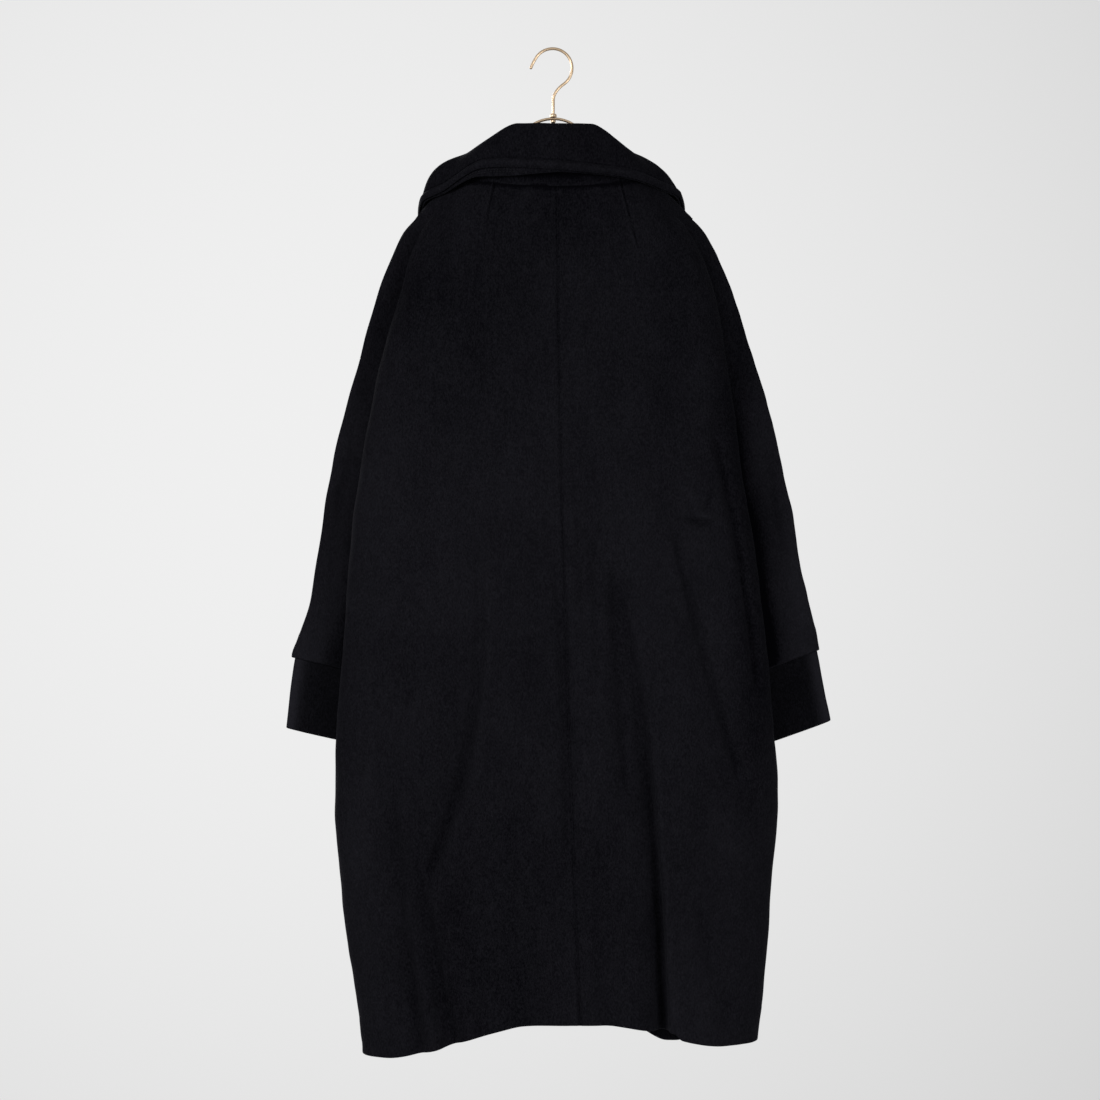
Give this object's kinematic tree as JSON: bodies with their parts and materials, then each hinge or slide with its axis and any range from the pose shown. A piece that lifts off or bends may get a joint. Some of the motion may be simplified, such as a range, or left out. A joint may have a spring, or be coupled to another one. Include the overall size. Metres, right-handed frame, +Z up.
{
  "type": "tent coat on a wire hanger",
  "caption": "Loose black wool tent coat with a broad rolled collar and deep turned cuffs, hung from its shoulders on a slim gilt wire hanger.",
  "frame": {"origin": "the inside of the top of the hanger's hook, where a rail or peg carries it", "axes": "+Z up; +X to the wearer's right, which is the right of the view from behind; +Y forwards, so the back of the coat faces -Y"},
  "size_m": [0.748, 0.1688, 1.3669],
  "materials": {
    "black_wool": "brushed black wool coating, very dark, matt, with a short soft nap",
    "gilt_wire": "pale gilt plated steel wire, satin bright"
  },
  "bodies": {
    "root": {"back_left": "black_wool", "back_right": "black_wool", "front_left": "black_wool", "front_right": "black_wool", "upper_collar": "black_wool", "under_collar": "black_wool", "cuff_left": "black_wool", "cuff_right": "black_wool", "hanger_hook": "gilt_wire", "hanger_frame": "gilt_wire", "hanger_ferrule": "gilt_wire", "hanger_rivet": "gilt_wire"}
  },
  "joints": []
}
